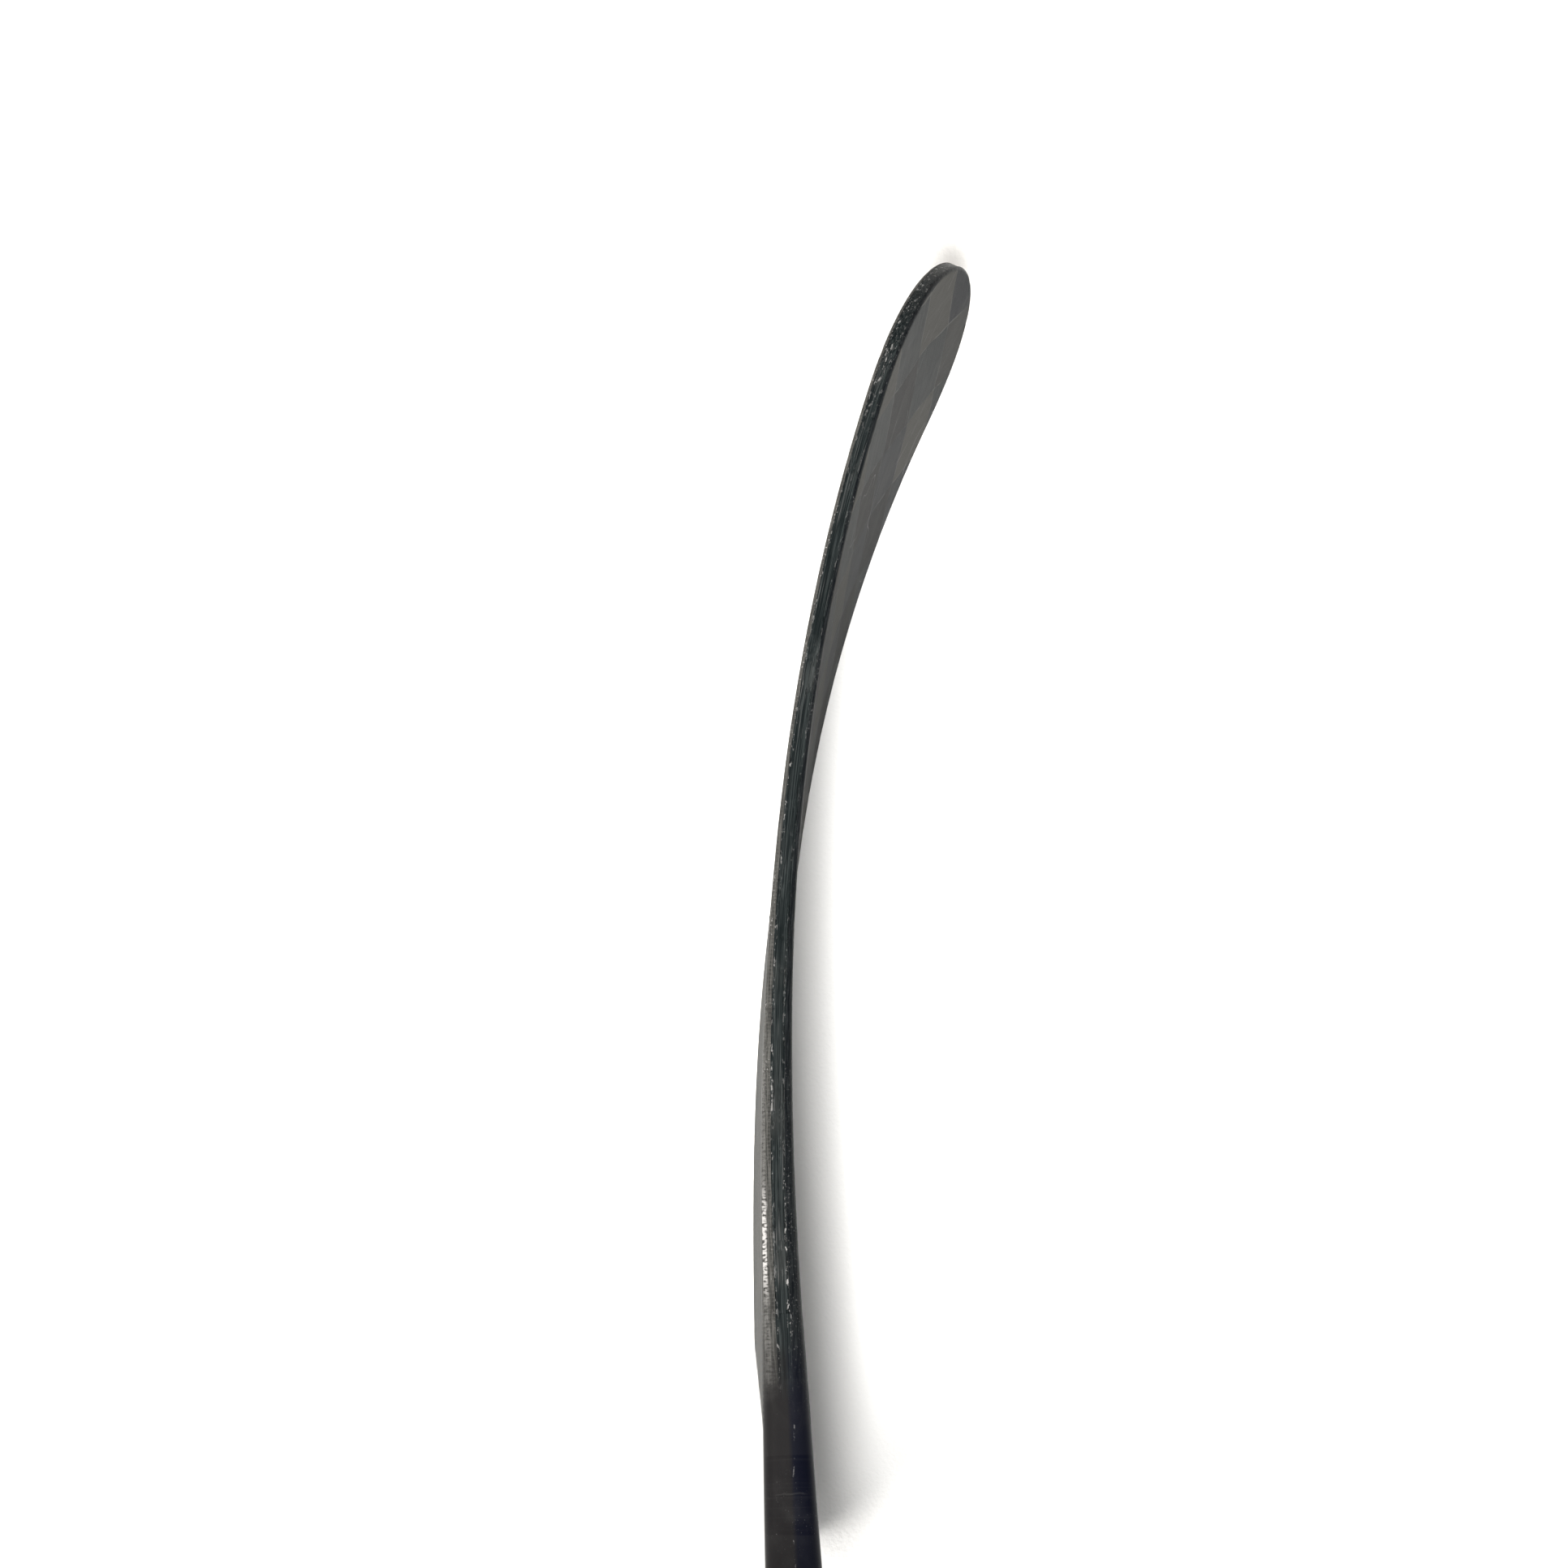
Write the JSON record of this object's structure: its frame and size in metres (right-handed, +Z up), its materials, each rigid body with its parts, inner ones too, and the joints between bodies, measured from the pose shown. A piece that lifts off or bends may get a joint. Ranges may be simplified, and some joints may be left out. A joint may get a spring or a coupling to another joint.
{
  "type": "ice hockey stick",
  "caption": "Left-handed composite ice hockey stick with a curved open-toe blade, a slim tapered neck and a long straight hollow shaft.",
  "frame": {"origin": "on the flat of the sole, 50 mm from the heel, in the middle plane of the shaft", "axes": "+X along the blade to the toe, +Y to the backhand side, +Z up; the shaft rises towards -X at 47 degrees"},
  "size_m": [1.3577, 0.0727, 1.1344],
  "materials": {
    "woven_carbon": "satin spread-tow carbon weave in clear resin, scuffed",
    "edge_resin": "dark resin-rich fibre edge, satin, scratched",
    "painted_carbon": "near-black satin lacquer over carbon",
    "bare_carbon": "bare moulded carbon laminate",
    "core_foam": "fine closed-cell structural foam",
    "stopper_foam": "soft white foam",
    "epoxy": "amber cast epoxy",
    "plug_plastic": "moulded black plastic",
    "cap_rubber": "matt black rubber"
  },
  "bodies": {
    "root": {"forehand_skin": "woven_carbon", "backhand_skin": "woven_carbon", "top_edge_strip": "edge_resin", "sole_edge_strip": "edge_resin", "toe_edge_strip": "edge_resin", "upper_core": "core_foam", "lower_core": "core_foam", "core_bridge": "bare_carbon", "heel_block": "epoxy", "neck_shell": "painted_carbon", "neck_core": "core_foam", "tenon": "bare_carbon", "tenon_adhesive": "epoxy", "shaft_tube": "painted_carbon", "shaft_stopper": "stopper_foam", "butt_plug": "plug_plastic", "end_cap": "cap_rubber"}
  },
  "joints": []
}
